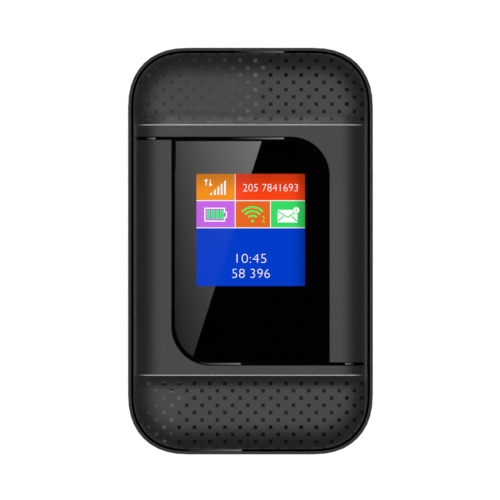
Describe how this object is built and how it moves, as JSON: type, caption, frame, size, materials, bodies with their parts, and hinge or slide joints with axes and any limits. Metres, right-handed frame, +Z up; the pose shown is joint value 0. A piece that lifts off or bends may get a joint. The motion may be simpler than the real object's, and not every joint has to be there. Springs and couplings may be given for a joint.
{
  "type": "mobile hotspot",
  "caption": "Pocket mobile hotspot with a lit colour display, two interlocking dotted covers, side keys, a USB port and a removable rear cover over battery and SIM card.",
  "frame": {"origin": "middle of the rear cover's flat rest face, under the middle of the body", "axes": "+Z up out of the display, +Y towards the top edge of the display's picture, +X to its right"},
  "size_m": [0.0576, 0.0954, 0.0135],
  "materials": {
    "cover_skin": "satin soft-touch dark grey with small glossy square dots",
    "gloss_trim": "piano black",
    "frame_plastic": "fine-grained satin charcoal",
    "rear_plastic": "fine-grained matt charcoal",
    "lens": "polished, black printed from behind",
    "panel_glass": "polished",
    "tray_white": "white moulded",
    "foam": "matt foam",
    "flex_film": "amber film",
    "connector_plastic": "ivory moulded",
    "board": "green solder mask",
    "tin": "tin plated",
    "chip": "moulded epoxy",
    "gold": "gold plated",
    "steel": "drawn steel",
    "connector_black": "black moulded",
    "card_plastic": "plain white card",
    "battery_case": "satin wrap over an aluminium can",
    "key_plastic": "satin charcoal",
    "plunger_plastic": "moulded"
  },
  "bodies": {
    "rear_door": {"rear_cover": "rear_plastic"},
    "housing": {"middle_frame": "frame_plastic", "front_bezel": "gloss_trim", "upper_cover": "cover_skin", "lower_cover": "cover_skin", "window_lens": "lens", "lens_gasket": "foam", "display_panel": "panel_glass", "display_backlight": "tray_white", "display_foam": "foam", "display_flex": "flex_film", "display_connector": "connector_plastic", "main_board": "board", "modem_shield": "tin", "power_shield": "tin", "modem_chip": "chip", "memory_chip": "chip", "power_chip": "chip", "radio_chip": "chip", "diversity_antenna": "gold", "main_antenna": "gold", "radio_antenna": "gold", "usb_shell": "steel", "usb_tongue": "connector_black", "sim_socket": "connector_black", "sim_cage": "steel", "battery_connector": "connector_black", "battery_contact_plus": "gold", "battery_contact_sense": "gold", "battery_contact_minus": "gold", "power_switch": "steel", "menu_switch": "steel", "reset_switch": "steel", "screw_upper_left": "tin", "screw_upper_right": "tin", "screw_lower_left": "tin", "screw_lower_right": "tin"},
    "battery_pack": {"battery": "battery_case"},
    "card": {"sim_card": "card_plastic"},
    "power_button": {"power_key": "key_plastic", "power_plunger": "plunger_plastic"},
    "menu_button": {"menu_key": "key_plastic", "menu_plunger": "plunger_plastic"},
    "reset_button": {"reset_plunger": "plunger_plastic"}
  },
  "joints": [
    {"name": "rear_cover_release", "type": "slide", "parent": "rear_door", "child": "housing", "axis": [0, 0, 1], "range_m": [0, 0.03]},
    {"name": "battery_lift", "type": "slide", "parent": "housing", "child": "battery_pack", "axis": [0, 0, -1], "range_m": [0, 0.015]},
    {"name": "sim_card_slide", "type": "slide", "parent": "housing", "child": "card", "axis": [1, 0, 0], "range_m": [0, 0.012]},
    {"name": "power_press", "type": "slide", "parent": "housing", "child": "power_button", "axis": [0, -1, 0], "range_m": [0, 0.00035], "stiffness_N_per_m": 900, "springref_m": -0.0005},
    {"name": "menu_press", "type": "slide", "parent": "housing", "child": "menu_button", "axis": [-1, 0, 0], "range_m": [0, 0.00035], "stiffness_N_per_m": 900, "springref_m": -0.0005},
    {"name": "reset_press", "type": "slide", "parent": "housing", "child": "reset_button", "axis": [0, 0, 1], "range_m": [0, 0.00025], "stiffness_N_per_m": 600, "springref_m": -0.0003}
  ],
  "couplings": [
    {"joint": "battery_lift", "follows": "rear_cover_release", "ratio": 0.5}
  ]
}
